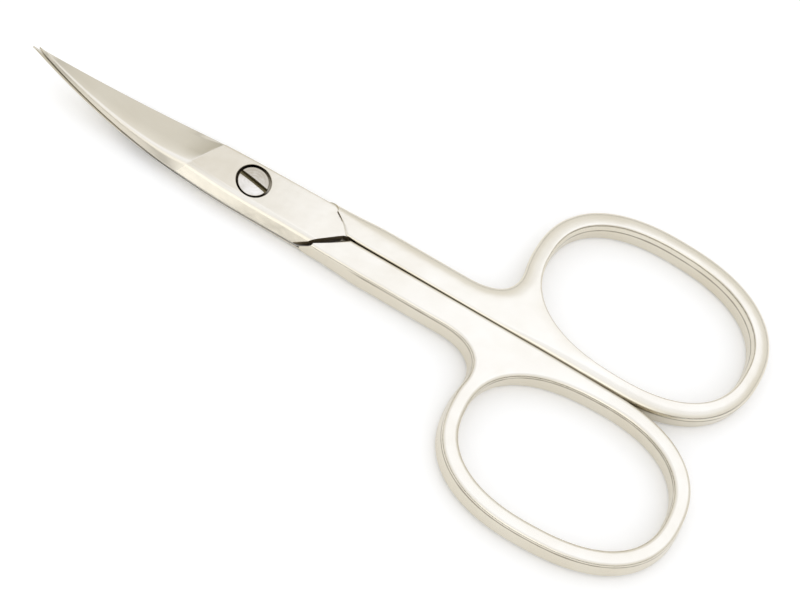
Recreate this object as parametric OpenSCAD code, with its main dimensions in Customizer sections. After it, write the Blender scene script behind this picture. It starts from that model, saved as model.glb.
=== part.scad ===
// Curved cuticle scissors: two forged halves that turn on one slotted screw.
// The origin is where the pivot axis meets the surface that the scissors lie on.
// +X runs toward the finger rings, along the closing line between the shanks, and +Z is up.

/* [Blades] */
// Reach of the upper blade's tip from the pivot
upper_reach = 28.4; // [25:0.1:32]
// Distance by which the lower blade's tip stands out past the upper one's
tip_lead = 0.7; // [0:0.1:1.2]
// Radius on which the blades curve upward
curve_r = 60; // [50:1:120]
// Distance from the pivot at which that curve starts
curve_start = 8; // [8:0.5:11]
// Thickness of the spine at the tip
tip_t = 0.4; // [0.3:0.05:0.6]
// Thickness left along the cutting edge
edge_t = 0.12; // [0.08:0.01:0.18]
// Gap between the two blades, forward of the flat joint
blade_gap = 0.06; // [0.04:0.01:0.12]
// Gap between the two blades at their tips
tip_gap = 0.03; // [0.02:0.01:0.12]
// Depth of the hollow ground into each blade's inner face
hollow_t = 0.06; // [0:0.01:0.1]

/* [Joint] */
// Width of the joint
joint_w = 6.8; // [6.2:0.1:7.4]
// Thickness of one half at the joint
joint_t = 1.5; // [1.3:0.1:1.6]
// Gap between the two joint plates
joint_gap = 0.02; // [0.01:0.01:0.04]
// Width of the slanted facet along the spine at the joint
facet_w = 1.25; // [0.6:0.05:1.5]
// Inset of the joint's outer face on the cutting side
far_inset = 0.6; // [0.3:0.05:0.8]
// Distance along X from the pivot to the heel of the joint plate
heel_x = 8; // [7.4:0.1:8.6]
// Distance by which the heel's low corner stands back from its ridge
heel_rake = 0.8; // [0:0.1:1]
// Length along X of the slanted step behind the heel
step_run = 3.9; // [3.3:0.1:4.5]
// Gap along X between the heel and the other half's shoulder
heel_gap = 1.4; // [1:0.1:1.6]
// Gap along X between the far end of the step and the other half's shoulder
step_gap = 1; // [0.8:0.1:1.4]
// Gap between the halves along the closing line
closing_gap = 0.16; // [0.1:0.02:0.4]
// Offset of the pivot from the closing line, toward the upper half's ring
pivot_side = 0.3; // [0:0.05:0.5]

/* [Shanks] */
// Width of one shank
shank_w = 3.6; // [3.3:0.1:4.2]
// Thickness of the shanks and rings
shank_t = 3.2; // [3.2:0.05:4]
// Distance from the pivot to where the shank turns into the ring's neck
neck_x = 26.5; // [24:0.1:28]
// Width of the round along the shank's outer face
round_w = 1.1; // [0.7:0.05:1.3]
// Height of that round
round_h = 1; // [0.7:0.05:1.3]

/* [Rings] */
// Distance along X from the pivot to the ring centres
ring_x = 46.5; // [45:0.1:52]
// Length of each finger hole
hole_l = 25.6; // [22:0.1:27]
// Width of each finger hole
hole_w = 17.7; // [15:0.1:20]
// Width of the band round a finger hole
band_w = 2.15; // [1.9:0.05:2.8]
// Lean of each finger hole toward the closing line, in degrees
ring_lean = 1.9; // [0:0.1:4]
// Width of the flare round a finger hole's outer face
flare_w = 0.85; // [0.5:0.05:1]
// Depth of that flare
flare_t = 1.25; // [0.5:0.05:1.6]
// Radius of the hole's edge on the inner face
hole_round = 0.4; // [0.2:0.05:0.5]

/* [Screw] */
// Diameter of the screw head
head_d = 3.7; // [3.4:0.05:4.4]
// Thickness of the screw head
head_t = 0.75; // [0.6:0.05:0.9]
// Gap between the head and the wall of its recess
recess_gap = 0.25; // [0.08:0.01:0.3]
// Diameter of the screw's shank
pin_d = 2.4; // [2:0.1:2.8]
// Gap round the screw's shank in the upper half
pin_gap = 0.04; // [0.02:0.01:0.08]
// Width of the screwdriver slot
slot_w = 0.5; // [0.3:0.05:0.7]
// Depth of the screwdriver slot
slot_t = 0.4; // [0.25:0.05:0.5]
// Turn of the slot from the X axis, in degrees
slot_turn = -10; // [-90:5:90]

/* [Hidden] */

steel_tint = "#d9d3c8";
screw_tint = "#b5ac9c";
eps = 0.01;
cut_past = 1;
round_steps = 64;

// Each half is drawn lying closed. Its own v runs from the spine to the cutting edge and the ring,
// and its own w is the height from the parting plane out to the half's outer face.
lower_reach = upper_reach + tip_lead;
half_w = joint_w / 2;
closing_v = closing_gap / 2;
upper_outer = shank_t - joint_t;
lower_outer = joint_t;

function mix(a, b, t) = a + (b - a) * t;
function clamp01(t) = max(0, min(1, t));
function ease(t) = let (c = clamp01(t)) c * c * (3 - 2 * c);
function unit(p) = p / norm(p);
function left_of(p) = [-p.y, p.x];

// Blade and joint plate
// Sections cross the plate on a slant: the first follows the step behind the heel, one follows
// the crease where the ground blade leaves the joint's flat, and the last closes the tip.
taper_power = 1.72;
spine_lead = 0.5;
tip_w = 0.18;
land_t = 0.2;
land_most = 1 / 3;
facet_most = 0.35;
facet_left = 0.2;
facet_power = 5;
slope_most = 0.25;
relief_rate = 4;
heel_slant = 1.9;
crease_spine_x = -8.3;
crease_edge_x = -4.5;
runout = 0.22;
buried_l = 3.6;
buried_v = 1;
joint_steps = 5;
blade_steps = 24;
columns = 4;
plate_steps = joint_steps + blade_steps;

function rise(p, side) = p.x > 0 ? 0
    : let (d = max(0, norm(p - [0, side]) - curve_start)) curve_r - sqrt(curve_r * curve_r - d * d);
function blade_share(i) = clamp01((i - joint_steps) / blade_steps);
function taper(x, reach) = x > 0 ? 1 : 1 - pow(-x / reach, taper_power);
function edge_v(x, reach) = mix(tip_w, half_w, taper(x, reach));
function spine_v(x, reach) = -half_w * taper(x, reach - spine_lead);

function edge_x(i, reach) =
    i <= joint_steps ? mix(heel_x + heel_slant, crease_edge_x, (i - 1) / (joint_steps - 1))
    : mix(crease_edge_x, -reach, blade_share(i));
function spine_x(i, reach) =
    i <= joint_steps ? mix(heel_x, crease_spine_x, i / joint_steps)
    : mix(crease_spine_x, -reach, blade_share(i));
function edge_point(i, reach) =
    i == 0 ? [heel_x + step_run + buried_l, buried_v] : let (x = edge_x(i, reach)) [x, edge_v(x, reach)];
function spine_point(i, reach) = let (x = spine_x(i, reach)) [x, spine_v(x, reach)];
function middle_point(i, reach) =
    i == 0 ? [heel_x + step_run, -eps] : (edge_point(i, reach) + spine_point(i, reach)) / 2;

function across(i, share, reach) =
    share < 0.5 ? mix(spine_point(i, reach), middle_point(i, reach), 2 * share)
    : mix(middle_point(i, reach), edge_point(i, reach), 2 * share - 1);
function width_at(i, reach) =
    i == 0 ? joint_w : norm(edge_point(i, reach) - spine_point(i, reach));

// Shares of the width taken by the spine facet and by the slope to the cutting edge
function facet_share(i, reach) =
    let (u = blade_share(i))
    min(facet_most, facet_w * mix(facet_left, 1, pow(1 - u, facet_power)) / width_at(i, reach));
function slope_share(i, reach) = min(slope_most, far_inset / width_at(i, reach));

// Heights of the outer face over the inner one
function ground(i) = clamp01(blade_share(i) / runout);
function spine_height(i) = mix(joint_t, tip_t, blade_share(i));
function edge_land(i) = mix(land_t, edge_t, ground(i));
function slope_height(i, reach) =
    let (
        s = slope_share(i, reach) / (1 - facet_share(i, reach)),
        wedge = mix(edge_land(i), spine_height(i), s)
    )
    mix(wedge, joint_t, pow(1 - ground(i), 2));
function hollow(share) = hollow_t * 4 * share * (1 - share);
function relief(i, share) =
    let (u = blade_share(i))
    mix(joint_gap / 2, mix(blade_gap, tip_gap, u) / 2 + hollow(share), ease(relief_rate * u));

function rake(i, share) = i == 0 && share == 0 ? heel_rake : 0;
function plate_point(i, share, w, lift, reach) =
    let (p = across(i, share, reach)) [p.x - rake(i, share), p.y, w + lift * rise(p, lift * pivot_side)];
function plate_ring(i, lift, reach) =
    let (f = facet_share(i, reach), s = 1 - slope_share(i, reach))
    concat(
        [for (k = [0:columns]) plate_point(i, k / columns, relief(i, k / columns), lift, reach)],
        [plate_point(i, 1, edge_land(i), lift, reach)],
        [for (k = [columns:-1:0])
            plate_point(i, mix(f, s, k / columns),
                mix(spine_height(i), slope_height(i, reach), k / columns), lift, reach)],
        [plate_point(i, 0, min(land_t, spine_height(i) * land_most), lift, reach)]
    );

module plate(lift, reach) {
    ring_n = 2 * columns + 4;
    rings = [for (i = [0:plate_steps]) plate_ring(i, lift, reach)];
    points = [for (r = rings) for (p = r) p];
    sides = [for (i = [0:plate_steps - 1]) for (k = [0:ring_n - 1])
        let (a = i * ring_n, b = a + ring_n, m = (k + 1) % ring_n)
        for (t = [[a + k, a + m, b + k], [b + k, a + m, b + m]]) t];
    back = [for (k = [0:columns - 1])
        let (top = 2 * columns + 2 - k)
        for (t = [[k, top, k + 1], [k + 1, top, top - 1]]) t];
    last = plate_steps * ring_n;
    tip = [for (k = [1:ring_n - 2]) [last, last + k, last + k + 1]];
    polyhedron(points, concat(sides, back, [[0, ring_n - 1, 2 * columns + 2]],
        [[columns, columns + 2, columns + 1]], tip));
}

// Shank and ring
// The outline runs out along the closing line, round the ring and back along the neck and the shank.
// A profile of insets and heights rounds it: wide on the outer face, sharp on the inner one.
egg_power = 2.35;
ring_a = hole_l / 2 + band_w;
ring_b = hole_w / 2 + band_w;
ring_v = closing_v + ring_b;
neck_turn = 192;
shank_steps = 6;
neck_steps = 10;
arc_steps = 24;
swell_l = 7;
face_round = 0.25;
draft = 0.2;
ring_round = 1.15;

function egg(a, b, turn) = [
    a * sign(cos(turn)) * pow(abs(cos(turn)), 2 / egg_power),
    b * sign(sin(turn)) * pow(abs(sin(turn)), 2 / egg_power)
];
function ring_point(a, b, turn) =
    let (p = egg(a, b, turn), c = cos(ring_lean), s = sin(ring_lean))
    [ring_x + p.x * c + p.y * s, ring_v + p.y * c - p.x * s];
function bezier(a, b, c, d, t) =
    a * pow(1 - t, 3) + b * 3 * t * pow(1 - t, 2) + c * 3 * t * t * (1 - t) + d * pow(t, 3);

// The shoulder's end face leans toward the pivot down to the parting plane. Beyond it, only the low ramp
// on the outer face shows, whose line lies at a steeper slant.
near_lean = 0.3;
far_lean = 1.5;
near_step = 0.85;
far_step = -0.2;
ramp_l = 0.35;
function end_shift(w, outer, lean, step) =
    w < 0 ? lean * (1 - w / (outer - shank_t))
    : w < joint_t ? mix(lean, step, w / joint_t)
    : step - (outer > joint_t ? ramp_l * (w - joint_t) / (outer - joint_t) : 0);
shoulder_x = heel_x + heel_gap;
corner_x = heel_x + step_run + step_gap;
shoulder_v = half_w;
neck_start = [neck_x, shank_w + closing_v];
neck_end = ring_point(ring_a, ring_b, neck_turn);
neck_pull = 3.6;
neck_heading = unit(ring_point(ring_a, ring_b, neck_turn - 1) - ring_point(ring_a, ring_b, neck_turn + 1));
spread_share = 0.52;
spread_x = mix(neck_x, ring_x, spread_share);
low_x = ring_point(ring_a, ring_b, -90).x;

function outer_edge(k) =
    let (t = k / shank_steps, x = mix(shoulder_x, neck_x, t))
    [x, mix(shoulder_v, neck_start.y, ease((x - shoulder_x) / swell_l))];
function neck_edge(k) =
    bezier(neck_start, neck_start + [neck_pull, 0], neck_end - neck_pull * neck_heading, neck_end,
        k / neck_steps);

far_chain = concat(
    [for (k = [0:shank_steps - 1]) outer_edge(k)],
    [for (k = [0:neck_steps - 1]) neck_edge(k)],
    [for (k = [0:2 * arc_steps - 1]) ring_point(ring_a, ring_b, mix(neck_turn, 0, k / (2 * arc_steps)))]
);
far_n = len(far_chain);
arc_n = round(arc_steps * 180 / neck_turn);
straight_n = far_n - arc_n;
neck_n = shank_steps + neck_steps;
near_chain = [for (k = [0:far_n - 1])
    k < shank_steps ? [mix(corner_x, neck_x, k / shank_steps), closing_v]
    : k < neck_n ? [mix(neck_x, spread_x, (k - shank_steps) / neck_steps), closing_v]
    : k < straight_n ? [mix(spread_x, low_x, (k - neck_n) / (straight_n - neck_n)), closing_v]
    : let (p = ring_point(ring_a, ring_b, mix(-90, 0, (k - straight_n) / arc_n)))
        [p.x, max(closing_v, p.y)]];
outline = concat(near_chain, [ring_point(ring_a, ring_b, 0)],
    [for (k = [far_n - 1:-1:0]) far_chain[k]]);
outline_n = len(outline);

// Width and height of the outer round at each outline point: narrow along the closing line, full elsewhere
// and tallest at the shoulder
shoulder_h = 1.5;
near_lead = 1.1 * ring_a;
far_lead = 0.6 * ring_a;
function along_ring(k, lead) = ease((outline[k].x - ring_x + lead) / ring_a);
function round_at(k) =
    k < far_n ? mix(face_round, ring_round, along_ring(k, near_lead))
    : mix(round_w, ring_round, along_ring(k, far_lead));
function past_shoulder(k) = ease((outline[k].x - shoulder_x) / swell_l);
function height_at(k) = k < far_n ? min(round_h, round_at(k)) : mix(shoulder_h, round_h, past_shoulder(k));
function draft_at(k) = draft * (k < far_n ? along_ring(k, far_lead) : past_shoulder(k));
function inward(k) =
    let (
        here = outline[k],
        into = unit(here - outline[(k + outline_n - 1) % outline_n]),
        out = unit(outline[(k + 1) % outline_n] - here),
        a = left_of(into),
        b = left_of(out)
    )
    k == 0 ? [0, 1] : k == outline_n - 1 ? [0, -1] : (a + b) / (1 + a * b);
inwards = [for (k = [0:outline_n - 1]) inward(k)];

// Inset and height of each row, from the inner face's small round, past the parting plane, to the outer
// face's wide round
draft_left = 0.35;
function profile(k, outer) =
    let (r = round_at(k), h = height_at(k), d = draft_at(k), inner = outer - shank_t)
    concat(
        [for (t = [0:30:90]) [d + face_round * (1 - sin(t)), inner + face_round * (1 - cos(t))]],
        [[d * draft_left, 0]],
        [for (t = [0:15:90]) [r * (1 - cos(t)), outer - h * (1 - sin(t))]]
    );
module handle(outer) {
    rows = [for (k = [0:outline_n - 1]) profile(k, outer)];
    row_n = len(rows[0]);
    points = [for (j = [0:row_n - 1]) for (k = [0:outline_n - 1])
        let (
            p = outline[k] + inwards[k] * rows[k][j][0],
            w = rows[k][j][1],
            shift = k == 0 ? end_shift(w, outer, near_lean, near_step)
                : k == outline_n - 1 ? end_shift(w, outer, far_lean, far_step)
                : 0
        )
        [p.x - shift, p.y, w]];
    sides = [for (j = [0:row_n - 2]) for (k = [0:outline_n - 1])
        let (a = j * outline_n, b = a + outline_n, m = (k + 1) % outline_n)
        for (t = [[a + k, b + k, a + m], [b + k, b + m, a + m]]) t];
    top = (row_n - 1) * outline_n;
    last = outline_n - 1;
    lids = [for (k = [0:far_n - 2]) for (t = [[k, k + 1, last - k], [k + 1, last - k - 1, last - k]]) t];
    end = [far_n - 1, far_n, far_n + 1];
    polyhedron(points, concat(
        sides,
        lids,
        [end],
        [for (t = concat(lids, [end])) [top + t[0], top + t[2], top + t[1]]]
    ));
}

// Finger hole, flared where its edges are rounded
hole_steps = 72;
module finger_hole(outer) {
    inner = outer - shank_t;
    rows = concat(
        [[hole_round, inner - cut_past]],
        [for (t = [90:-30:0]) [hole_round * (1 - cos(t)), inner + hole_round * (1 - sin(t))]],
        [for (t = [0:15:90]) [flare_w * (1 - cos(t)), outer - flare_t * (1 - sin(t))]],
        [[flare_w, outer + cut_past]]
    );
    points = [for (r = rows) for (k = [0:hole_steps - 1])
        let (p = ring_point(hole_l / 2 + r[0], hole_w / 2 + r[0], 360 * k / hole_steps)) [p.x, p.y, r[1]]];
    sides = [for (j = [0:len(rows) - 2]) for (k = [0:hole_steps - 1])
        let (a = j * hole_steps, b = a + hole_steps, m = (k + 1) % hole_steps)
        for (t = [[a + k, b + k, a + m], [b + k, b + m, a + m]]) t];
    top = (len(rows) - 1) * hole_steps;
    lids = [for (k = [1:hole_steps - 2]) for (t = [[0, k, k + 1], [top, top + k + 1, top + k]]) t];
    polyhedron(points, concat(sides, lids));
}

module half(lift, reach, outer) {
    union() {
        plate(lift, reach);
        difference() {
            handle(outer);
            finger_hole(outer);
        }
    }
}

// Joint and screw
end_recess = 0.1;
face_z = 2 * joint_t;
seat_z = face_z - head_t;

module upper_half() {
    color(steel_tint)
    difference() {
        translate([0, -pivot_side, joint_t]) half(1, upper_reach, upper_outer);
        translate([0, 0, joint_t - cut_past])
        cylinder(d = pin_d + 2 * pin_gap, h = joint_t + 2 * cut_past, $fn = round_steps);
        translate([0, 0, seat_z - eps])
        cylinder(d = head_d + 2 * recess_gap, h = head_t + cut_past, $fn = round_steps);
    }
}

module lower_half() {
    color(steel_tint)
    difference() {
        translate([0, -pivot_side, joint_t]) rotate([180, 0, 0]) half(-1, lower_reach, lower_outer);
        translate([0, 0, -cut_past])
        cylinder(d = pin_d, h = joint_t + 2 * cut_past, $fn = round_steps);
    }
}

module pivot_screw() {
    color(screw_tint)
    difference() {
        union() {
            translate([0, 0, end_recess])
            cylinder(d = pin_d, h = seat_z - end_recess, $fn = round_steps);
            translate([0, 0, seat_z])
            cylinder(d = head_d, h = head_t, $fn = round_steps);
        }
        rotate([0, 0, slot_turn])
        translate([-head_d, -slot_w / 2, face_z - slot_t])
        cube([2 * head_d, slot_w, slot_t + cut_past]);
    }
}

lower_half();
upper_half();
pivot_screw();
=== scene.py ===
import math

import bmesh
import bpy
from mathutils import Matrix, Vector


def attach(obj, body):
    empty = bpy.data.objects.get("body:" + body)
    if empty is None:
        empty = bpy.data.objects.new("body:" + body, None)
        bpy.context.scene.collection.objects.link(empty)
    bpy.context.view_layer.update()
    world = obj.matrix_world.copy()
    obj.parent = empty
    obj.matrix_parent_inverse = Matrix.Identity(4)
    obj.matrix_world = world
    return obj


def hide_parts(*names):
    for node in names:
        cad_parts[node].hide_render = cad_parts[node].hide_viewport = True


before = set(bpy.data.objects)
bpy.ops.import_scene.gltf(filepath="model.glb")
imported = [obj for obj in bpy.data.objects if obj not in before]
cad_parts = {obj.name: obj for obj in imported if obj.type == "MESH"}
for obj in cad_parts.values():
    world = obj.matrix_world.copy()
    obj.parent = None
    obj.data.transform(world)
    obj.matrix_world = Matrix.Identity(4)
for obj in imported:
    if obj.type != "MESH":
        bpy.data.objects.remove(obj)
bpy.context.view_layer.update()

# Lower half: one forging from the blade tip to the finger ring, in carbon steel under nickel plate. It was
# drop-forged, ground on its blade and polished all over, and it holds the screw. It lies with its flat
# inner face up, so the shank and the ring show softly worn edges above a domed underside.
MM = 0.001
parting_z = 1.5
pivot_side = 0.3

joint_w = 6.8
joint_t = 1.5
joint_gap = 0.02
facet_w = 1.25
far_inset = 0.6
crease_inset = 0.85
facet_most = 0.35
facet_left = 0.2
facet_power = 5
slope_most = 0.25
heel_x = 8.0
heel_rake = 0.8
heel_slant = 1.9
step_run = 3.9
heel_gap = 1.4
step_gap = 1.0
closing_gap = 0.16
half_w = joint_w / 2
closing_v = closing_gap / 2
closing_touch = 0.03
shoulder_x = heel_x + heel_gap
corner_x = heel_x + step_run + step_gap

curve_r = 60.0
curve_start = 8.0
tip_t = 0.4
tip_w = 0.18
edge_t = 0.12
land_t = 0.2
land_most = 1 / 3
blade_gap = 0.06
tip_gap = 0.03
hollow_t = 0.06
relief_rate = 4
taper_power = 1.72
spine_lead = 0.5
crease_spine_x = -8.3
crease_edge_x = -4.5
runout = 0.22
buried_l = 3.6
buried_v = 1.0
buried_turn_y = -0.01

shank_w = 3.6
shank_t = 3.2
neck_x = 26.5
round_w = 1.1
dome_w = 2.0
round_h = 1.0
shoulder_h = 1.5
ring_round = 1.65
crown = 0.85
face_round = 0.45
draft = 0.2
draft_left = 0.35
near_lean = 0.3
far_lean = 1.5
near_step = 0.85
far_step = -0.2
ramp_l = 0.35
swell_l = 7.0

ring_x = 46.49
hole_l = 25.6
hole_w = 17.7
band_w = 2.15
ring_lean = math.radians(1.9)
egg_power = 2.35
ring_a = hole_l / 2 + band_w
ring_b = hole_w / 2 + band_w
ring_v = closing_touch + ring_b
neck_turn = math.radians(192)
neck_pull = 3.6
spread_share = 0.52
near_lead = 1.1
far_lead = 0.6
flare_w = 0.45
flare_t = 1.4
hole_round = 0.55

joint_steps = 5
blade_steps = 24


def mix(a, b, t):
    return a + (b - a) * t


def clamp01(t):
    return max(0.0, min(1.0, t))


def ease(t):
    c = clamp01(t)
    return c * c * (3 - 2 * c)


def blade_share(i):
    """How far section i lies along the blade, from 0 at the crease to 1 at the tip."""
    return clamp01((i - joint_steps) / blade_steps)


def taper(x, reach):
    """What is left of the full width at x, which narrows to nothing at the tip."""
    return 1.0 if x > 0 else 1 - (-x / reach) ** taper_power


def rise(p, side):
    """Rise of the blade's curve at p, which depends only on the distance from the pivot axis."""
    if p.x > 0:
        return 0.0
    d = max(0.0, (p - Vector((0, side))).length - curve_start)
    return curve_r - math.sqrt(curve_r * curve_r - d * d)


def edge_point(i, reach):
    """The end of section i at the cutting edge."""
    if i <= 0:
        return Vector((heel_x + step_run + buried_l, buried_v))
    if i <= joint_steps:
        x = mix(heel_x + heel_slant, crease_edge_x, (i - 1) / (joint_steps - 1))
    else:
        x = mix(crease_edge_x, -reach, blade_share(i))
    return Vector((x, mix(tip_w, half_w, taper(x, reach))))


def spine_point(i, reach):
    """The end of section i at the spine."""
    if i <= joint_steps:
        x = mix(heel_x, crease_spine_x, i / joint_steps)
    else:
        x = mix(crease_spine_x, -reach, blade_share(i))
    return Vector((x, -half_w * taper(x, reach - spine_lead)))


corner_share = 0.45


def softened(corners, radii, steps=8):
    """The outline through the corners, with each corner of a set radius drawn as a short curve."""
    n = len(corners)
    points = []
    for k, (p, r) in enumerate(zip(corners, radii)):
        if r == 0:
            points.append(p)
            continue
        before = corners[k - 1] - p
        after = corners[(k + 1) % n] - p
        a = p + before.normalized() * min(r, corner_share * before.length)
        b = p + after.normalized() * min(r, corner_share * after.length)
        for s in range(steps + 1):
            t = s / steps
            points.append(a * (1 - t) ** 2 + p * 2 * t * (1 - t) + b * t * t)
    return points


# Softness of the plate's corners: the ridge of the spine facet, the bevel, the small corners, the joint's
# long edges and the cutting edge.
ridge_soft = 0.6
ridge_most = 0.09
bevel_soft = 0.3
small_soft = 0.06
joint_soft = 0.13
keen = 0.004
rake_w = 0.6
inner_columns = 10
outer_columns = 10


def plate_section(i, reach, lift):
    """One slanted section of the blade and joint plate, from the spine over the inner face and back."""
    spine = spine_point(i, reach)
    edge = edge_point(i, reach)
    width = (edge - spine).length
    u = blade_share(i)
    ground = clamp01(u / runout)
    facet = min(facet_most * width, facet_w * mix(facet_left, 1, (1 - u) ** facet_power))
    slope = min(slope_most * width, mix(far_inset, crease_inset, ease(i / joint_steps)))
    top = mix(joint_t, tip_t, u)
    land = mix(land_t, edge_t, ground)
    wedge = mix(land, top, slope / (width - facet))
    bevel = mix(wedge, joint_t, (1 - ground) ** 2)
    open_share = ease(relief_rate * u)

    def relief(share):
        hollow = hollow_t * 4 * share * (1 - share)
        return mix(joint_gap / 2, mix(blade_gap, tip_gap, u) / 2 + hollow, open_share)

    low = min(land_t, top * land_most)
    worn_edge = mix(joint_soft, keen, ease(relief_rate * u))
    corners = [Vector((0, relief(0)))]
    radii = [max(small_soft, worn_edge)]
    for k in range(1, inner_columns):
        share = k / inner_columns
        corners.append(Vector((width * share, relief(share))))
        radii.append(0)
    corners += [Vector((width, relief(1))), Vector((width, land)), Vector((width - slope, bevel))]
    radii += [worn_edge, small_soft / 2, bevel_soft]
    soft = min(ridge_soft, ridge_most * width)
    flat_share = 1 - soft / (corner_share * (width - slope - facet))
    for k in range(1, outer_columns):
        t = flat_share * k / (outer_columns - 1)
        corners.append(Vector((mix(width - slope, facet, t), mix(bevel, top, t))))
        radii.append(0)
    corners += [Vector((facet, top)), Vector((0, low))]
    radii += [soft, small_soft]
    points = []
    for c, w in softened(corners, radii):
        share = c / width
        if i <= 0:
            middle = Vector((heel_x + step_run, buried_turn_y))
            p = spine.lerp(middle, 2 * share) if share < 0.5 else middle.lerp(edge, 2 * share - 1)
        else:
            p = spine.lerp(edge, share)
        rake = heel_rake * max(0.0, 1 - c / rake_w) if i <= 0 else 0.0
        points.append(Vector((p.x - rake, p.y, w + lift * rise(p, lift * pivot_side))))
    return points


def closed_mesh(name, rows, lids):
    """A closed skin over rows of points, each row a closed loop, with the two end loops filled by lids."""
    mesh = bpy.data.meshes.new(name)
    n = len(rows[0])
    points = [p for row in rows for p in row]
    faces = []
    for j in range(len(rows) - 1):
        for k in range(n):
            m = (k + 1) % n
            faces.append((j * n + k, j * n + m, (j + 1) * n + m, (j + 1) * n + k))
    last = (len(rows) - 1) * n
    for face in lids:
        faces.append(tuple(reversed(face)))
        faces.append(tuple(last + v for v in face))
    mesh.from_pydata([tuple(p) for p in points], [], faces)
    mesh.validate()
    shape = bmesh.new()
    shape.from_mesh(mesh)
    bmesh.ops.recalc_face_normals(shape, faces=shape.faces)
    shape.to_mesh(mesh)
    shape.free()
    return mesh


def plate_mesh(reach, lift):
    """The joint plate and the blade as one skin, with closer sections along the blade."""
    stops = [0] + [1 + k / 2 for k in range(2 * joint_steps - 2)]
    stops += [joint_steps + k / 4 for k in range(4 * blade_steps + 1)]
    rows = [plate_section(i, reach, lift) for i in stops]
    ring_n = len(rows[0])
    return closed_mesh("plate", rows, [tuple(range(ring_n))])


def egg(a, b, turn):
    """A point of the ring's oval, which is a superellipse with half axes a and b."""
    c = math.cos(turn)
    s = math.sin(turn)
    return Vector((
        math.copysign(a * abs(c) ** (2 / egg_power), c),
        math.copysign(b * abs(s) ** (2 / egg_power), s),
    ))


def ring_point(a, b, turn):
    """The same point on the leaning ring, in the half's own frame."""
    p = egg(a, b, turn)
    c = math.cos(ring_lean)
    s = math.sin(ring_lean)
    return Vector((ring_x + p.x * c + p.y * s, ring_v + p.y * c - p.x * s))


shank_steps = 24
neck_steps = 24
arc_steps = 60


def closing_at(x):
    """Half of the closing line's width, which narrows from the step to the place where the rings meet."""
    return mix(closing_v, closing_touch, clamp01((x - corner_x) / (neck_x - corner_x)))


def handle_outline():
    """The closing line and the ring's near side, then the ring's far side, the neck and the shank."""
    start = Vector((neck_x, shank_w + closing_v))
    end = ring_point(ring_a, ring_b, neck_turn)
    nudge = math.radians(1)
    heading = ring_point(ring_a, ring_b, neck_turn - nudge) - ring_point(ring_a, ring_b, neck_turn + nudge)
    b = start + Vector((neck_pull, 0))
    c = end - heading.normalized() * neck_pull
    far = []
    for k in range(shank_steps):
        x = mix(shoulder_x, neck_x, k / shank_steps)
        far.append(Vector((x, mix(half_w, start.y, ease((x - shoulder_x) / swell_l)))))
    for k in range(neck_steps):
        t = k / neck_steps
        far.append(start * (1 - t) ** 3 + b * 3 * t * (1 - t) ** 2 + c * 3 * t * t * (1 - t) + end * t ** 3)
    for k in range(2 * arc_steps):
        far.append(ring_point(ring_a, ring_b, neck_turn * (1 - k / (2 * arc_steps))))
    arc_n = round(arc_steps * math.pi / neck_turn)
    neck_n = shank_steps + neck_steps
    straight_n = len(far) - arc_n
    spread_x = mix(neck_x, ring_x, spread_share)
    low_x = ring_point(ring_a, ring_b, -math.pi / 2).x
    near = []
    for k in range(len(far)):
        if k < shank_steps:
            x = mix(corner_x, neck_x, k / shank_steps)
            near.append(Vector((x, closing_at(x))))
        elif k < neck_n:
            near.append(Vector((mix(neck_x, spread_x, (k - shank_steps) / neck_steps), closing_touch)))
        elif k < straight_n:
            near.append(Vector((mix(spread_x, low_x, (k - neck_n) / (straight_n - neck_n)), closing_touch)))
        else:
            p = ring_point(ring_a, ring_b, mix(-math.pi / 2, 0, (k - straight_n) / arc_n))
            near.append(Vector((p.x, max(closing_touch, p.y))))
    return near, far


def inward(outline, k):
    """The way into the outline at point k, long enough to keep an inset even round a corner."""
    if k in (0, len(outline) - 1):
        return Vector((0, 1 if k == 0 else -1))
    into = (outline[k] - outline[k - 1]).normalized()
    out = (outline[(k + 1) % len(outline)] - outline[k]).normalized()
    a = Vector((-into.y, into.x))
    b = Vector((-out.y, out.x))
    return (a + b) / (1 + a.dot(b))


small_steps = 8
round_steps = 12


def quarter(steps):
    """The angles of a quarter turn in equal steps."""
    return [math.pi / 2 * s / steps for s in range(steps + 1)]


def end_shift(w, outer, lean, step):
    """Lean of the shoulder's end face toward the pivot, and of the ramp beyond the parting plane."""
    if w < 0:
        return lean * (1 - w / (outer - shank_t))
    if w < joint_t:
        return mix(lean, step, w / joint_t)
    return step - (ramp_l * (w - joint_t) / (outer - joint_t) if outer > joint_t else 0.0)


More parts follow.
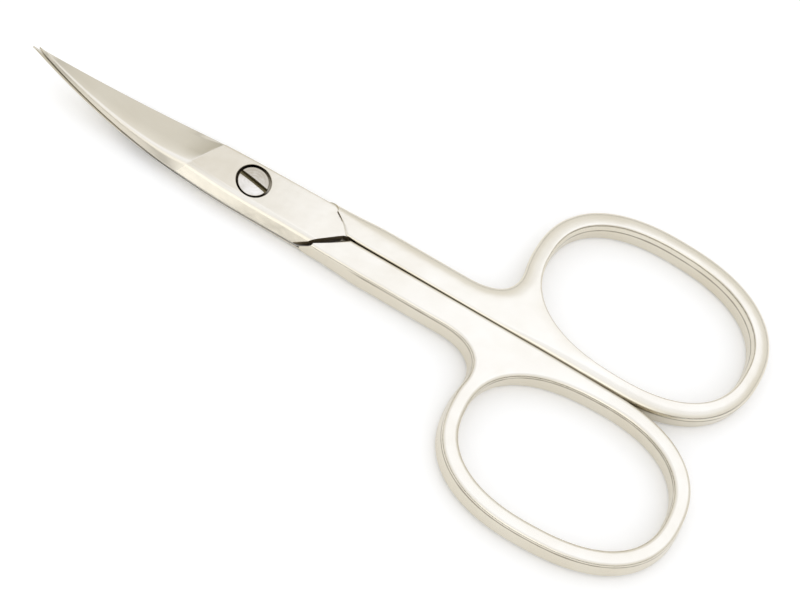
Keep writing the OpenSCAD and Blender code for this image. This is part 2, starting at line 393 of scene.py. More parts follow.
def handle_mesh(outer):
    """Shank, neck and ring as one outline rounded by insets, flat inside and domed outside."""
    near, far = handle_outline()
    far_n = len(far)
    outline = near + [ring_point(ring_a, ring_b, 0)] + far[::-1]
    n = len(outline)
    inner = outer - shank_t
    columns = []
    for k, p in enumerate(outline):
        along = (p.x - ring_x) / ring_a
        if k < far_n:
            r = mix(face_round, ring_round, ease(along + near_lead))
            h = min(round_h, r)
            d = draft * ease(along + far_lead)
        else:
            past_shoulder = ease((p.x - shoulder_x) / swell_l)
            r = mix(mix(round_w, dome_w, past_shoulder), ring_round, ease(along + far_lead))
            h = mix(shoulder_h, round_h, past_shoulder)
            d = draft * past_shoulder
        rows = [(d + face_round * (1 - math.sin(t)), inner + face_round * (1 - math.cos(t)))
                for t in quarter(small_steps)]
        rows.append((d * draft_left, 0.0))
        rows += [(r * (1 - math.cos(t) ** crown), outer - h * (1 - math.sin(t) ** crown))
                 for t in quarter(round_steps)]
        into = inward(outline, k)
        column = [Vector((p.x + into.x * inset, p.y + into.y * inset, w)) for inset, w in rows]
        if k in (0, n - 1):
            lean, step = (near_lean, near_step) if k == 0 else (far_lean, far_step)
            for q in column:
                q.x -= end_shift(q.z, outer, lean, step)
        columns.append(column)
    rows = [[column[j] for column in columns] for j in range(len(columns[0]))]
    last = n - 1
    lids = [(k, k + 1, last - k - 1, last - k) for k in range(far_n - 1)]
    lids.append((far_n - 1, far_n, far_n + 1))
    return closed_mesh("handle", rows, lids)


hole_steps = 160
cut_past = 1.0


def hole_plug_mesh(outer):
    """The finger hole as a solid to cut with, rounded at the inner face, flared at the outer."""
    inner = outer - shank_t
    rows = [(hole_round, inner - cut_past)]
    rows += [(hole_round * (1 - math.cos(t)), inner + hole_round * (1 - math.sin(t)))
             for t in reversed(quarter(small_steps))]
    rows += [(flare_w * (1 - math.cos(t)), outer - flare_t * (1 - math.sin(t)))
             for t in quarter(round_steps)]
    rows.append((flare_w, outer + cut_past))
    loops = []
    for grow, w in rows:
        turns = [2 * math.pi * k / hole_steps for k in range(hole_steps)]
        flat = [ring_point(hole_l / 2 + grow, hole_w / 2 + grow, t) for t in turns]
        loops.append([Vector((p.x, p.y, w)) for p in flat])
    return closed_mesh("hole", loops, [tuple(range(hole_steps))])


def turned_mesh(name, profile, steps=96):
    """A solid of revolution about the pivot axis, from (radius, height) pairs, with flat ends."""
    turns = [2 * math.pi * k / steps for k in range(steps)]
    rows = [[Vector((r * math.cos(t), r * math.sin(t), z)) for t in turns] for r, z in profile]
    return closed_mesh(name, rows, [tuple(range(steps))])


def new_object(name, mesh):
    piece = bpy.data.objects.new(name, mesh)
    bpy.context.scene.collection.objects.link(piece)
    return piece


def machined(piece, joined, cut):
    """The piece with other solids fused to it and others cut from it, as one clean mesh."""
    helpers = []
    for operation, meshes in (("UNION", joined), ("DIFFERENCE", cut)):
        for mesh in meshes:
            other = new_object("helper", mesh)
            helpers.append(other)
            step = piece.modifiers.new(operation, "BOOLEAN")
            step.operation = operation
            step.solver = "MANIFOLD"
            step.object = other
    bpy.context.view_layer.update()
    shaped = piece.evaluated_get(bpy.context.evaluated_depsgraph_get())
    mesh = bpy.data.meshes.new_from_object(shaped)
    piece.modifiers.clear()
    piece.data = mesh
    for other in helpers:
        bpy.data.objects.remove(other)
    return piece


weld_t = 0.002
sharp_angle = math.radians(14)
flat_weight = 80


def polished_shading(piece):
    """Smooth shading, broken at real edges, with flat faces kept flat and folded pairs of faces removed."""
    shape = bmesh.new()
    shape.from_mesh(piece.data)
    bmesh.ops.remove_doubles(shape, verts=shape.verts, dist=weld_t * MM)
    bmesh.ops.dissolve_degenerate(shape, edges=shape.edges, dist=weld_t * MM)
    bmesh.ops.triangulate(shape, faces=shape.faces)
    shape.verts.index_update()
    same_corners = {}
    for face in shape.faces:
        same_corners.setdefault(frozenset(v.index for v in face.verts), []).append(face)
    folded = [face for pair in same_corners.values() if len(pair) > 1 for face in pair]
    bmesh.ops.delete(shape, geom=folded, context="FACES")
    for face in shape.faces:
        face.smooth = True
    for edge in shape.edges:
        edge.smooth = edge.is_manifold and edge.calc_face_angle(0) < sharp_angle
    shape.to_mesh(piece.data)
    shape.free()
    weighted = piece.modifiers.new("flat faces", "WEIGHTED_NORMAL")
    weighted.keep_sharp = True
    weighted.weight = flat_weight


def half_piece(name, reach, lift, outer, cuts):
    """One half: plate fused to handle, holes cut, turned and set in place, in metres."""
    piece = new_object(name, handle_mesh(outer))
    machined(piece, [plate_mesh(reach, lift)], [hole_plug_mesh(outer)])
    for v in piece.data.vertices:
        v.co.z = v.co.z * lift + parting_z
        v.co.y = v.co.y * lift - pivot_side
    machined(piece, [], cuts)
    for v in piece.data.vertices:
        v.co = v.co * MM
    polished_shading(piece)
    return piece


upper_reach = 28.4
tip_lead = 0.7
pin_r = 1.2
pin_gap = 0.04
pin_seat = 0.002
pin_hole = turned_mesh("pin hole", [
    (pin_r + pin_seat, -cut_past),
    (pin_r + pin_seat, parting_z + cut_past),
])
lower_half = half_piece("lower_half_forging", upper_reach + tip_lead, -1, joint_t, [pin_hole])


def linear(hex_colour):
    """An sRGB hex colour as the linear values that a shader takes."""
    parts = [int(hex_colour[k:k + 2], 16) / 255 for k in (1, 3, 5)]
    return tuple(c / 12.92 if c <= 0.04045 else ((c + 0.055) / 1.055) ** 2.4 for c in parts) + (1.0,)


def add_node(tree, kind, settings=(), links=()):
    """One shader node, with its settings and sockets set and its links made."""
    node = tree.nodes.new(kind)
    for key, value in settings:
        if isinstance(key, str) and hasattr(node, key):
            setattr(node, key, value)
        else:
            node.inputs[key].default_value = value
    for key, source in links:
        tree.links.new(source, node.inputs[key])
    return node


def new_material(name):
    material = bpy.data.materials.new(name)
    material.use_nodes = True
    material.node_tree.nodes.clear()
    return material, material.node_tree


# Polished nickel plate: a warm grey-white metal that mirrors the room softly, with faint waves and haze from
# the buffing, satin on the ground blades. Painted shade makes it darker and yellower round the joint and
# darker beside the blades' crease. Painted shade and dust darken the corners, thin painted dark lines run
# round the handles' sides, old oil with painted shade darkens the counterbore round the screw, and old oil
# the seam.
nickel_light = linear("#E4DFD2")
nickel_warm = linear("#D9D1BF")
nickel_coarse_and_shade = linear("#BDB6A4")
nickel_joint_shade = linear("#CBC2AE")
dust_and_shade = linear("#8C8373")
oil_and_shade = linear("#2C261C")
haze_size = 6
wave_size = 2.5
polished_nickel, tree = new_material("polished nickel plate")
place = add_node(tree, "ShaderNodeTexCoord").outputs["Object"]
haze = add_node(tree, "ShaderNodeTexNoise", [("Scale", 1 / (haze_size * MM)), ("Detail", 3.0)],
                [("Vector", place)])
wave = add_node(tree, "ShaderNodeTexNoise", [("Scale", 1 / (wave_size * MM)), ("Detail", 2.0)],
                [("Vector", place)])
plate = add_node(tree, "ShaderNodeMix", [("data_type", "RGBA"), ("A", nickel_light), ("B", nickel_warm)],
                 [("Factor", haze.outputs["Fac"])])
along = add_node(tree, "ShaderNodeSeparateXYZ", [], [("Vector", place)])
crease = add_node(tree, "ShaderNodeAttribute", [("attribute_name", "past_crease")])
past = add_node(tree, "ShaderNodeSeparateXYZ", [], [("Vector", crease.outputs["Vector"])])

# Ground blade, past the crease: coarser and darker, with painted shade making it darkest close to the crease
# on the side of the edge.
wander_l = 0.8
ground_start = 0.3
ground_full = 0.6
dark_l = 3.4
dark_left = 0.38
spine_share = 0.25
edge_share = 0.5
wander = add_node(tree, "ShaderNodeMath", [("operation", "MULTIPLY_ADD"), (1, wander_l)],
                  [(0, wave.outputs["Fac"]), (2, past.outputs["X"])])
blade = add_node(tree, "ShaderNodeMapRange", [("From Min", ground_start), ("From Max", ground_full)],
                 [("Value", wander.outputs["Value"])])
fade = add_node(tree, "ShaderNodeMapRange",
                [("interpolation_type", "SMOOTHSTEP"), ("From Min", dark_l), ("From Max", ground_start),
                 ("To Min", dark_left)],
                [("Value", wander.outputs["Value"])])
edge_side = add_node(tree, "ShaderNodeMapRange", [("From Min", spine_share), ("From Max", edge_share)],
                     [("Value", past.outputs["Y"])])
crease_shade = add_node(tree, "ShaderNodeMath", [("operation", "MULTIPLY")],
                 [(0, fade.outputs["Result"]), (1, edge_side.outputs["Result"])])
coarse_and_crease_shade = add_node(tree, "ShaderNodeMath", [("operation", "MULTIPLY")],
                  [(0, crease_shade.outputs["Value"]), (1, blade.outputs["Result"])])

# Joint: painted shade makes the plate darker and yellower there than along the shanks, where less of the soft
# box is mirrored, but not on the spine's narrow facet.
yellow_start_x = 9.0
yellow_full_x = -3.0
yellow_most = 0.9
facet_share = 0.17
face_share = 0.24
joint_side = add_node(tree, "ShaderNodeMapRange",
                      [("From Min", yellow_start_x * MM), ("From Max", yellow_full_x * MM),
                       ("To Max", yellow_most)],
                      [("Value", along.outputs["X"])])
off_blade = add_node(tree, "ShaderNodeMath", [("operation", "SUBTRACT"), ("use_clamp", True)],
                     [(0, joint_side.outputs["Result"]), (1, blade.outputs["Result"])])
off_facet = add_node(tree, "ShaderNodeMapRange", [("From Min", facet_share), ("From Max", face_share)],
                     [("Value", past.outputs["Y"])])
joint_shade = add_node(tree, "ShaderNodeMath", [("operation", "MULTIPLY")],
                    [(0, off_blade.outputs["Value"]), (1, off_facet.outputs["Result"])])
joint_shaded = add_node(tree, "ShaderNodeMix", [("data_type", "RGBA"), ("B", nickel_joint_shade)],
                [("Factor", joint_shade.outputs["Value"]), ("A", plate.outputs["Result"])])
tone = add_node(tree, "ShaderNodeMix", [("data_type", "RGBA"), ("B", nickel_coarse_and_shade)],
                [("Factor", coarse_and_crease_shade.outputs["Value"]), ("A", joint_shaded.outputs["Result"])])

# Dark lines: thin painted dark streaks at one height round the sides of each half, lower on the upper half, a
# painted reflection of the tent's dark gap on the rounded edges.
streak_w = 0.22
streak_low = 2.25
streak_high = 2.7
streak_start_x = 14.0
streak_full_x = 16.0
streak_most = 0.8
streak_half = add_node(tree, "ShaderNodeMath", [("operation", "MULTIPLY"), (1, streak_w * MM)],
                       [(0, wave.outputs["Fac"])])
streak = add_node(tree, "ShaderNodeMath", [("operation", "COMPARE")],
                  [(0, along.outputs["Z"]), (1, past.outputs["Z"]), (2, streak_half.outputs["Value"])])
handle_side = add_node(tree, "ShaderNodeMapRange",
                       [("From Min", streak_start_x * MM), ("From Max", streak_full_x * MM),
                        ("To Max", streak_most)],
                       [("Value", along.outputs["X"])])
streaked = add_node(tree, "ShaderNodeMath", [("operation", "MULTIPLY")],
                    [(0, streak.outputs["Value"]), (1, handle_side.outputs["Result"])])
dark_line_tone = add_node(tree, "ShaderNodeMix", [("data_type", "RGBA"), ("B", dust_and_shade)],
                     [("Factor", streaked.outputs["Value"]), ("A", tone.outputs["Result"])])

# Painted shade and grime: points that see little of the room are darkened, both as painted shade in gaps and
# corners and as dried oil near the joint and dust along the handles. The blades and the upper half's proud
# face beside the joint are kept clear of it.
grime_reach = 0.5
grimy_open = 0.1
clean_open = 0.4
handled_start_x = 12.0
handled_full_x = 15.0
upper_side_y = 0.3
proud_start_z = 1.9
proud_full_z = 2.2
proud_most = 0.95
shelter = add_node(tree, "ShaderNodeAmbientOcclusion", [("samples", 8), ("Distance", grime_reach * MM)])
undarkened = add_node(tree, "ShaderNodeMapRange", [("From Min", grimy_open), ("From Max", clean_open)],
                [("Value", shelter.outputs["AO"])])
handled = add_node(tree, "ShaderNodeMapRange",
                   [("From Min", handled_start_x * MM), ("From Max", handled_full_x * MM)],
                   [("Value", along.outputs["X"])])
beyond = add_node(tree, "ShaderNodeMapRange", [("From Min", 0.0), ("From Max", upper_side_y * MM)],
                  [("Value", along.outputs["Y"])])
spared = add_node(tree, "ShaderNodeMath", [("operation", "SUBTRACT"), ("use_clamp", True)],
                  [(0, beyond.outputs["Result"]), (1, handled.outputs["Result"])])
proud = add_node(tree, "ShaderNodeMapRange",
                 [("From Min", proud_start_z * MM), ("From Max", proud_full_z * MM), ("To Max", proud_most)],
                 [("Value", along.outputs["Z"])])
open_face = add_node(tree, "ShaderNodeMath", [("operation", "MULTIPLY")],
                     [(0, spared.outputs["Value"]), (1, proud.outputs["Result"])])
undarkened_or_proud = add_node(tree, "ShaderNodeMath", [("operation", "MAXIMUM")],
                    [(0, undarkened.outputs["Result"]), (1, open_face.outputs["Value"])])
kept_undarkened = add_node(tree, "ShaderNodeMath", [("operation", "MAXIMUM")],
                 [(0, undarkened_or_proud.outputs["Value"]), (1, blade.outputs["Result"])])

# Counterbore and seam: a dark ring in the counterbore round the head, old oil and painted shade in the gap,
# lighter toward +X and +Y, and a dark line of old oil in the joint's seam.
dark_ring_r = 2.13
dark_ring_soft = 0.02
dark_ring_depth = 0.12
lighter_side_start = 1.2
lighter_side_full = 2.8
lighter_side_most = 0.7
seam_past_heel = 0.2
flat = add_node(tree, "ShaderNodeVectorMath", [("operation", "MULTIPLY"), (1, (1, 1, 0))], [(0, place)])
radius = add_node(tree, "ShaderNodeVectorMath", [("operation", "LENGTH")], [(0, flat.outputs["Vector"])])
outside = add_node(tree, "ShaderNodeMapRange",
                   [("From Min", (dark_ring_r - dark_ring_soft) * MM), ("From Max", (dark_ring_r + dark_ring_soft) * MM)],
                   [("Value", radius.outputs["Value"])])
above = add_node(tree, "ShaderNodeMapRange",
                 [("From Min", (2 * joint_t - dark_ring_depth) * MM), ("From Max", (2 * joint_t - dark_ring_soft) * MM)],
                 [("Value", along.outputs["Z"])])
slant = add_node(tree, "ShaderNodeMath", [("operation", "ADD")],
                 [(0, along.outputs["X"]), (1, along.outputs["Y"])])
one_side_lighter = add_node(tree, "ShaderNodeMapRange",
                  [("From Min", lighter_side_start * MM), ("From Max", lighter_side_full * MM), ("To Max", lighter_side_most)],
                  [("Value", slant.outputs["Value"])])
off_ring = add_node(tree, "ShaderNodeMath", [("operation", "MAXIMUM")],
                [(0, outside.outputs["Result"]), (1, above.outputs["Result"])])
off_ring_or_lighter_side = add_node(tree, "ShaderNodeMath", [("operation", "MAXIMUM")],
               [(0, off_ring.outputs["Value"]), (1, one_side_lighter.outputs["Result"])])
at_parting = add_node(tree, "ShaderNodeMath",
                      [("operation", "COMPARE"), (1, parting_z * MM), (2, joint_soft * MM)],
                      [(0, along.outputs["Z"])])
at_joint = add_node(tree, "ShaderNodeMath", [("operation", "LESS_THAN"), (1, (heel_x + seam_past_heel) * MM)],
                    [(0, along.outputs["X"])])
seam = add_node(tree, "ShaderNodeMath", [("operation", "MULTIPLY")],
                [(0, at_parting.outputs["Value"]), (1, at_joint.outputs["Value"])])
clear_of_ring_and_seam = add_node(tree, "ShaderNodeMath", [("operation", "SUBTRACT"), ("use_clamp", True)],
                 [(0, off_ring_or_lighter_side.outputs["Value"]), (1, seam.outputs["Value"])])
shade_and_grime_colour = add_node(tree, "ShaderNodeMix", [("data_type", "RGBA"), ("A", oil_and_shade), ("B", dust_and_shade)],
                   [("Factor", handled.outputs["Result"])])
shade_and_grime_tone = add_node(tree, "ShaderNodeMix", [("data_type", "RGBA")],
                 [("Factor", kept_undarkened.outputs["Value"]), ("A", shade_and_grime_colour.outputs["Result"]),
                  ("B", dark_line_tone.outputs["Result"])])
darkened_tone = add_node(tree, "ShaderNodeMix", [("data_type", "RGBA"), ("A", oil_and_shade)],
                [("Factor", clear_of_ring_and_seam.outputs["Value"]), ("B", shade_and_grime_tone.outputs["Result"])])

# Finish: satin on the ground blade, with lines across it from the grinding belt, polished elsewhere, with the
# waves of the buffing wheel over everything.
polish = 0.2
satin = 0.3
haze_dulls = 0.08
belt_line_w = 0.12
belt_line_l = 6
belt_line_t = 0.01
belt_lines = 0.12
wave_t = 0.2
buffing = 0.26
finish = add_node(tree, "ShaderNodeMapRange", [("To Min", polish), ("To Max", satin)],
                  [("Value", blade.outputs["Result"])])
dull = add_node(tree, "ShaderNodeMath", [("operation", "MULTIPLY_ADD"), (1, haze_dulls)],
                [(0, haze.outputs["Fac"]), (2, finish.outputs["Result"])])
stretch = add_node(tree, "ShaderNodeMapping",
                   [("Scale", (1 / (belt_line_w * MM), 1 / (belt_line_l * MM), 1 / (belt_line_l * MM)))],
                   [("Vector", place)])
lines = add_node(tree, "ShaderNodeTexNoise", [("Scale", 1.0), ("Detail", 2.0)],
                 [("Vector", stretch.outputs["Vector"])])
ground = add_node(tree, "ShaderNodeMath", [("operation", "MULTIPLY")],
                  [(0, lines.outputs["Fac"]), (1, blade.outputs["Result"])])
grind = add_node(tree, "ShaderNodeBump", [("Strength", belt_lines), ("Distance", belt_line_t * MM)],
                 [("Height", ground.outputs["Value"])])
buff = add_node(tree, "ShaderNodeBump", [("Strength", buffing), ("Distance", wave_t * MM)],
                [("Height", wave.outputs["Fac"]), ("Normal", grind.outputs["Normal"])])
metal = add_node(tree, "ShaderNodeBsdfPrincipled", [("Metallic", 1.0)],
                 [("Base Color", darkened_tone.outputs["Result"]), ("Roughness", dull.outputs["Value"]),
                  ("Normal", buff.outputs["Normal"])])
add_node(tree, "ShaderNodeOutputMaterial", [], [("Surface", metal.outputs["BSDF"])])

# Ground steel: the inner faces of the blades and the joint, ground through the plate to bare steel. They are
# greyer and duller than the plate, with fine lines along the hollow grinding.
steel_bare = linear("#C9C5BC")
steel_dull = linear("#B3AFA6")
hone_line_l = 5
hone_line_w = 0.15
hone_line_t = 0.01
hone_lines = 0.15
steel_roughness = 0.38
ground_steel, tree = new_material("hollow-ground steel")
place = add_node(tree, "ShaderNodeTexCoord").outputs["Object"]
stretch = add_node(tree, "ShaderNodeMapping",
                   [("Scale", (1 / (hone_line_l * MM), 1 / (hone_line_w * MM), 1 / (hone_line_w * MM)))],
                   [("Vector", place)])
lines = add_node(tree, "ShaderNodeTexNoise", [("Scale", 1.0), ("Detail", 2.0)],
                 [("Vector", stretch.outputs["Vector"])])
tone = add_node(tree, "ShaderNodeMix", [("data_type", "RGBA"), ("A", steel_bare), ("B", steel_dull)],
                [("Factor", lines.outputs["Fac"])])
grind = add_node(tree, "ShaderNodeBump", [("Strength", hone_lines), ("Distance", hone_line_t * MM)],
                 [("Height", lines.outputs["Fac"])])
metal = add_node(tree, "ShaderNodeBsdfPrincipled", [("Metallic", 1.0), ("Roughness", steel_roughness)],
                 [("Base Color", tone.outputs["Result"]), ("Normal", grind.outputs["Normal"])])
add_node(tree, "ShaderNodeOutputMaterial", [], [("Surface", metal.outputs["BSDF"])])

# Step shade: painted shade on the end faces inside the step, where the notch lies in shadow. It is
# brown-black with paler flecks, and dull.
fleck_pale = linear("#8A7A5C")
fleck_size = 0.5
step_shade_roughness = 0.55
step_shade, tree = new_material("painted shade in the step")
place = add_node(tree, "ShaderNodeTexCoord").outputs["Object"]
fleck = add_node(tree, "ShaderNodeTexNoise", [("Scale", 1 / (fleck_size * MM)), ("Detail", 3.0)],
                 [("Vector", place)])
tone = add_node(tree, "ShaderNodeMix", [("data_type", "RGBA"), ("A", oil_and_shade), ("B", fleck_pale)],
                [("Factor", fleck.outputs["Fac"])])
shade_sheet = add_node(tree, "ShaderNodeBsdfPrincipled", [("Roughness", step_shade_roughness)],
                [("Base Color", tone.outputs["Result"])])
add_node(tree, "ShaderNodeOutputMaterial", [], [("Surface", shade_sheet.outputs["BSDF"])])


# Where the nickel ends: how far the ground inner face and the painted shade in the step reach (mm), and how
# much a face has to be turned to count as part of them.
inner_past_corner = 0.8
inner_t = 0.5
inner_turn = 0.6
step_before_heel = 0.5
end_turn = 0.3
end_turn_most = 0.85
step_side_y = 0.2
step_side_up = 0.4


def plated(piece, lift):
    """Nickel plate with a ground inner face and painted shade in the step. Each point keeps its distance past
    the crease, its share of the plate's width and the height of its half's painted dark line."""
    marks = piece.data.attributes.new("past_crease", "FLOAT_VECTOR", "POINT")
    streak_z = streak_low if lift > 0 else streak_high
    for v in piece.data.vertices:
        y = (v.co.y / MM + pivot_side) * lift
        share = clamp01((y + half_w) / joint_w)
        past_mm = mix(crease_spine_x, crease_edge_x, share) - v.co.x / MM
        marks.data[v.index].vector = (past_mm, share, streak_z * MM)
    piece.data.materials.clear()
    for material in (polished_nickel, ground_steel, step_shade):
        piece.data.materials.append(material)
    for face in piece.data.polygons:
        x = face.center.x / MM
        up = (face.center.z / MM - parting_z) * lift
        near_joint = x < corner_x + inner_past_corner
        inner_side = near_joint and up > -inner_t and lift * face.normal.z < -inner_turn
        in_step = near_joint and x > heel_x - step_before_heel
        end_face = abs(face.normal.x) > end_turn and abs(face.normal.z) < end_turn_most
        out_of_step = face.center.y * lift > step_side_y * MM and up > step_side_up
        # Faces of material 2 carry painted shade on the end faces inside the step.
        face.material_index = 1 if inner_side else 2 if in_step and end_face and not out_of_step else 0


plated(lower_half, -1)
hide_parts("lower_half")
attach(lower_half, "lower_body")

# Upper half: the same forging turned over, so its domed outer face is up. Its joint plate is drilled to turn
# on the screw and counterbored, so that the screw's head lies flush.
face_z = 2 * joint_t
head_d = 3.7
head_t = 0.75
recess_gap = 0.25
recess_r = head_d / 2 + recess_gap
seat_z = face_z - head_t
rim_soft = 0.05
clearance_hole = turned_mesh("clearance hole", [
    (pin_r + pin_gap, parting_z - cut_past),
    (pin_r + pin_gap, seat_z + rim_soft),
])
counterbore = turned_mesh("counterbore", [
    (recess_r, seat_z),
    (recess_r, face_z - rim_soft),
    (recess_r + rim_soft, face_z),
    (recess_r + cut_past, face_z + cut_past),
])
upper_cuts = [clearance_hole, counterbore]
upper_half = half_piece("upper_half_forging", upper_reach, 1, shank_t - joint_t, upper_cuts)
plated(upper_half, 1)
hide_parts("upper_half")
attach(upper_half, "upper_body")

# Pivot screw: a slotted screw turned from steel bar. Its head is sunk in the upper half, and its shank is
# fixed in the lower half and filed off just short of the underside.
end_recess = 0.1
slot_w = 0.58
slot_t = 0.4
slot_turn = math.radians(-10)
head_r = head_d / 2
head_soft = 0.15
head_dome = 0.09
rim_z = face_z - head_dome
pin_profile = [(pin_r, end_recess), (pin_r, seat_z), (head_r, seat_z), (head_r, rim_z - head_soft)]
pin_profile += [(head_r - head_soft * (1 - math.cos(t)), rim_z - head_soft * (1 - math.sin(t)))
                for t in quarter(round_steps)[1:]]
dome_r = head_r - head_soft
pin_profile += [(dome_r * (1 - k / round_steps), face_z - head_dome * (1 - k / round_steps) ** 2)
                for k in range(1, round_steps)]
pivot_screw = new_object("slotted_screw", turned_mesh("screw", pin_profile))
slot_half = slot_w / 2
corners = [(-head_d, -slot_half), (head_d, -slot_half), (head_d, slot_half), (-head_d, slot_half)]
c = math.cos(slot_turn)
s = math.sin(slot_turn)
slot_rows = [[Vector((x * c - y * s, x * s + y * c, z)) for x, y in corners]
             for z in (face_z - slot_t, face_z + cut_past)]
machined(pivot_screw, [], [closed_mesh("slot", slot_rows, [(0, 1, 2, 3)])])
for v in pivot_screw.data.vertices:
    v.co = v.co * MM
polished_shading(pivot_screw)

# Turned steel: greyer than the plate, with fine rings from the lathe and smears from the buffing wheel. A
# painted highlight brightens the head toward -Y, and painted shade with dirt darkens the slot and round the
# head.
steel_grey = linear("#B8B0A1")
steel_light = linear("#D6D0C4")
slot_shade_and_dirt = linear("#5E563F")
lathe_gap = 1.2
lathe_shake = 1.5
lathe_t = 0.05
lathe_lines = 0.15
smear_size = 0.9
smear_t = 0.1
smears = 0.3
smear_weight = 1.6
bright_start_y = 0.5
bright_full_y = -0.7
patch_start = 0.85
patch_full = 1.9
darkest_depth = 0.3
undarkened_depth = 0.16
screw_roughness = 0.25
turned_steel, tree = new_material("turned steel")
place = add_node(tree, "ShaderNodeTexCoord").outputs["Object"]
rings = add_node(tree, "ShaderNodeTexWave",
                 [("wave_type", "RINGS"), ("rings_direction", "Z"), ("Scale", 1 / (lathe_gap * MM)),
                  ("Distortion", lathe_shake), ("Detail", 2.0)],
                 [("Vector", place)])
smear = add_node(tree, "ShaderNodeTexNoise", [("Scale", 1 / (smear_size * MM)), ("Detail", 3.0)],
                 [("Vector", place)])
across = add_node(tree, "ShaderNodeSeparateXYZ", [], [("Vector", place)])
# Painted highlight: the head is made lighter toward -Y, mixed with the buffing smears.
one_side_lighter = add_node(tree, "ShaderNodeMapRange",
                  [("From Min", bright_start_y * MM), ("From Max", bright_full_y * MM)],
                  [("Value", across.outputs["Y"])])
patch = add_node(tree, "ShaderNodeMath", [("operation", "MULTIPLY_ADD"), (1, smear_weight)],
                 [(0, smear.outputs["Fac"]), (2, one_side_lighter.outputs["Result"])])
smear_and_highlight = add_node(tree, "ShaderNodeMapRange", [("From Min", patch_start), ("From Max", patch_full)],
                  [("Value", patch.outputs["Value"])])
tone = add_node(tree, "ShaderNodeMix", [("data_type", "RGBA"), ("A", steel_grey), ("B", steel_light)],
                [("Factor", smear_and_highlight.outputs["Result"])])
# Painted shade with dirt: darker below the head's top, in the slot and round the head.
undarkened = add_node(tree, "ShaderNodeMapRange",
                [("From Min", (face_z - darkest_depth) * MM), ("From Max", (face_z - undarkened_depth) * MM)],
                [("Value", across.outputs["Z"])])
darkened_tone = add_node(tree, "ShaderNodeMix", [("data_type", "RGBA"), ("A", slot_shade_and_dirt)],
                [("Factor", undarkened.outputs["Result"]), ("B", tone.outputs["Result"])])
groove = add_node(tree, "ShaderNodeBump", [("Strength", lathe_lines), ("Distance", lathe_t * MM)],
                  [("Height", rings.outputs["Fac"])])
dent = add_node(tree, "ShaderNodeBump", [("Strength", smears), ("Distance", smear_t * MM)],
                [("Height", smear.outputs["Fac"]), ("Normal", groove.outputs["Normal"])])
metal = add_node(tree, "ShaderNodeBsdfPrincipled", [("Metallic", 1.0), ("Roughness", screw_roughness)],
                 [("Base Color", darkened_tone.outputs["Result"]), ("Normal", dent.outputs["Normal"])])
add_node(tree, "ShaderNodeOutputMaterial", [], [("Surface", metal.outputs["BSDF"])])
pivot_screw.data.materials.clear()
pivot_screw.data.materials.append(turned_steel)
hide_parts("pivot_screw")
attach(pivot_screw, "lower_body")

# Table: a sheet of matt white card, which shows white to the camera and keeps the soft shadow under the
# scissors.
table_half = 1.5
mesh = bpy.data.meshes.new("table")
corners = [(-1, -1), (1, -1), (1, 1), (-1, 1)]
mesh.from_pydata([(x * table_half, y * table_half, 0) for x, y in corners], [], [(0, 1, 2, 3)])
table = new_object("white_card", mesh)
white_card, tree = new_material("matt white card")
card_glow = 0.1
card_shaded = linear("#EFEFEC")
card_seen = linear("#FFFFFF")
rays = add_node(tree, "ShaderNodeLightPath")
seen = add_node(tree, "ShaderNodeMath", [("operation", "MAXIMUM")],
                [(0, rays.outputs["Is Camera Ray"]), (1, rays.outputs["Is Glossy Ray"])])
whiteness = add_node(tree, "ShaderNodeMix",
                     [("data_type", "RGBA"), ("A", card_shaded), ("B", card_seen)],
                     [("Factor", seen.outputs["Value"])])
card = add_node(tree, "ShaderNodeBsdfDiffuse", [], [("Color", whiteness.outputs["Result"])])
lift = add_node(tree, "ShaderNodeMath", [("operation", "MULTIPLY"), (1, card_glow)],
                [(0, seen.outputs["Value"])])
glow = add_node(tree, "ShaderNodeEmission", [], [("Strength", lift.outputs["Value"])])
both = add_node(tree, "ShaderNodeAddShader", [], [(0, card.outputs["BSDF"]), (1, glow.outputs["Emission"])])
add_node(tree, "ShaderNodeOutputMaterial", [], [("Surface", both.outputs["Shader"])])
table.data.materials.append(white_card)

# Studio: a light tent that is brightest overhead. A dark gap under its front edge draws the thin dark lines
# on the rounded edges, a white reflector in front lights the facets, and one cool soft box above and behind
# the scissors whitens the flat faces.
back_level = 0.6
front_level = 0.05
side_blend = 0.15
gap_low = math.radians(5)
gap_top = math.radians(19)
reflector_rise = math.radians(28)
reflector_rim = math.radians(26)
reflector_core = math.radians(8)
reflector_way = (0, -math.cos(reflector_rise), math.sin(reflector_rise))
reflector_gain = 0.55
zenith_gain = 0.42
zenith_start = math.radians(32)
roof_cool = linear("#EFF3FF")
tent_white = linear("#FFFFFF")
fill = 1.0
world = bpy.data.worlds.new("light tent")
bpy.context.scene.world = world
world.use_nodes = True
tree = world.node_tree
tree.nodes.clear()
rays = add_node(tree, "ShaderNodeLightPath")
way = add_node(tree, "ShaderNodeTexCoord").outputs["Generated"]
parts = add_node(tree, "ShaderNodeSeparateXYZ", [], [("Vector", way)])
height = parts.outputs["Z"]
edge_level = add_node(tree, "ShaderNodeMapRange",
                      [("From Min", -side_blend), ("From Max", side_blend), ("To Min", front_level),
                       ("To Max", back_level)],
                      [("Value", parts.outputs["Y"])])
walls = add_node(tree, "ShaderNodeMapRange",
                 [("interpolation_type", "SMOOTHSTEP"), ("From Min", math.sin(gap_low)),
                  ("From Max", math.sin(gap_top)), ("To Max", 1.0)],
                 [("Value", height), ("To Min", edge_level.outputs["Result"])])
overhead = add_node(tree, "ShaderNodeMapRange",
                    [("interpolation_type", "SMOOTHSTEP"), ("From Min", math.sin(zenith_start))],
                    [("Value", height)])
roof = add_node(tree, "ShaderNodeMath", [("operation", "MULTIPLY_ADD"), (1, zenith_gain), (2, 1.0)],
                [(0, overhead.outputs["Result"])])
facing = add_node(tree, "ShaderNodeVectorMath", [("operation", "DOT_PRODUCT"), (1, reflector_way)],
                  [(0, way)])
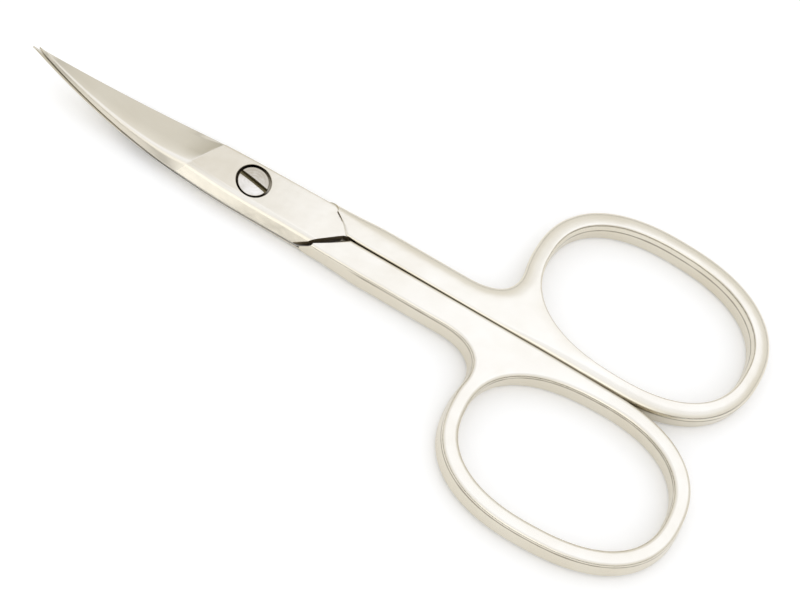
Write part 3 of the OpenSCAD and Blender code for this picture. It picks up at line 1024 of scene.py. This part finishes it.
reflector = add_node(tree, "ShaderNodeMapRange",
                     [("interpolation_type", "SMOOTHSTEP"), ("From Min", math.cos(reflector_rim)),
                      ("From Max", math.cos(reflector_core)), ("To Max", reflector_gain)],
                     [("Value", facing.outputs["Value"])])
above = add_node(tree, "ShaderNodeMath", [("operation", "ADD")],
                 [(0, roof.outputs["Value"]), (1, reflector.outputs["Result"])])
mirrored = add_node(tree, "ShaderNodeMath", [("operation", "MULTIPLY")],
                    [(0, walls.outputs["Result"]), (1, above.outputs["Value"])])
bright = add_node(tree, "ShaderNodeMix", [("data_type", "FLOAT"), ("A", fill)],
                  [("Factor", rays.outputs["Is Glossy Ray"]), ("B", mirrored.outputs["Value"])])
seen = add_node(tree, "ShaderNodeMath", [("operation", "MAXIMUM")],
                [(0, rays.outputs["Is Camera Ray"]), (1, rays.outputs["Is Transmission Ray"])])
level = add_node(tree, "ShaderNodeMix", [("data_type", "FLOAT"), ("B", 1.0)],
                 [("Factor", seen.outputs["Value"]), ("A", bright.outputs["Result"])])
cool = add_node(tree, "ShaderNodeMath", [("operation", "MULTIPLY")],
                [(0, overhead.outputs["Result"]), (1, rays.outputs["Is Glossy Ray"])])
tint = add_node(tree, "ShaderNodeMix", [("data_type", "RGBA"), ("A", tent_white), ("B", roof_cool)],
                [("Factor", cool.outputs["Value"])])
room = add_node(tree, "ShaderNodeBackground", [],
                [("Color", tint.outputs["Result"]), ("Strength", level.outputs["Result"])])
add_node(tree, "ShaderNodeOutputWorld", [], [("Surface", room.outputs["Background"])])

box_wide = 0.24
box_deep = 0.26
box_radiance = 0.3
box_colour = linear("#D4E0FF")
box_away = 0.40
box_way = Vector((0.15, 0.38, 0.92)).normalized()
flats = Vector((0.035, 0, 0.003))
box_lamp = bpy.data.lights.new("soft box", "AREA")
box_lamp.shape = "RECTANGLE"
box_lamp.size = box_wide
box_lamp.size_y = box_deep
box_lamp.color = box_colour[:3]
box_lamp.energy = box_radiance * math.pi * box_lamp.size * box_lamp.size_y
soft_box = bpy.data.objects.new("soft box", box_lamp)
bpy.context.scene.collection.objects.link(soft_box)
soft_box.location = flats + box_way * box_away
soft_box.rotation_euler = (flats - soft_box.location).to_track_quat("-Z", "Y").to_euler()

# Camera: a long lens from the front, 61 degrees above the table, turned so that the scissors lie on the
# slant.
elevation = math.radians(61)
toward = Vector((0, -math.cos(elevation), math.sin(elevation)))
roll = math.radians(30)
distance = 0.6214
aim = Vector((21.1, -3.9, 3.0)) * MM
lens_data = bpy.data.cameras.new("camera")
lens_data.lens = 247.5
lens_data.sensor_width = 36.0
lens_data.clip_start = 0.01
camera = bpy.data.objects.new("camera", lens_data)
bpy.context.scene.collection.objects.link(camera)
camera.location = aim + toward * distance
tilt = Matrix.Rotation(math.pi / 2 - elevation, 3, "X") @ Matrix.Rotation(roll, 3, "Z")
camera.rotation_euler = tilt.to_euler()
bpy.context.scene.camera = camera
bpy.context.scene.view_settings.view_transform = "Standard"
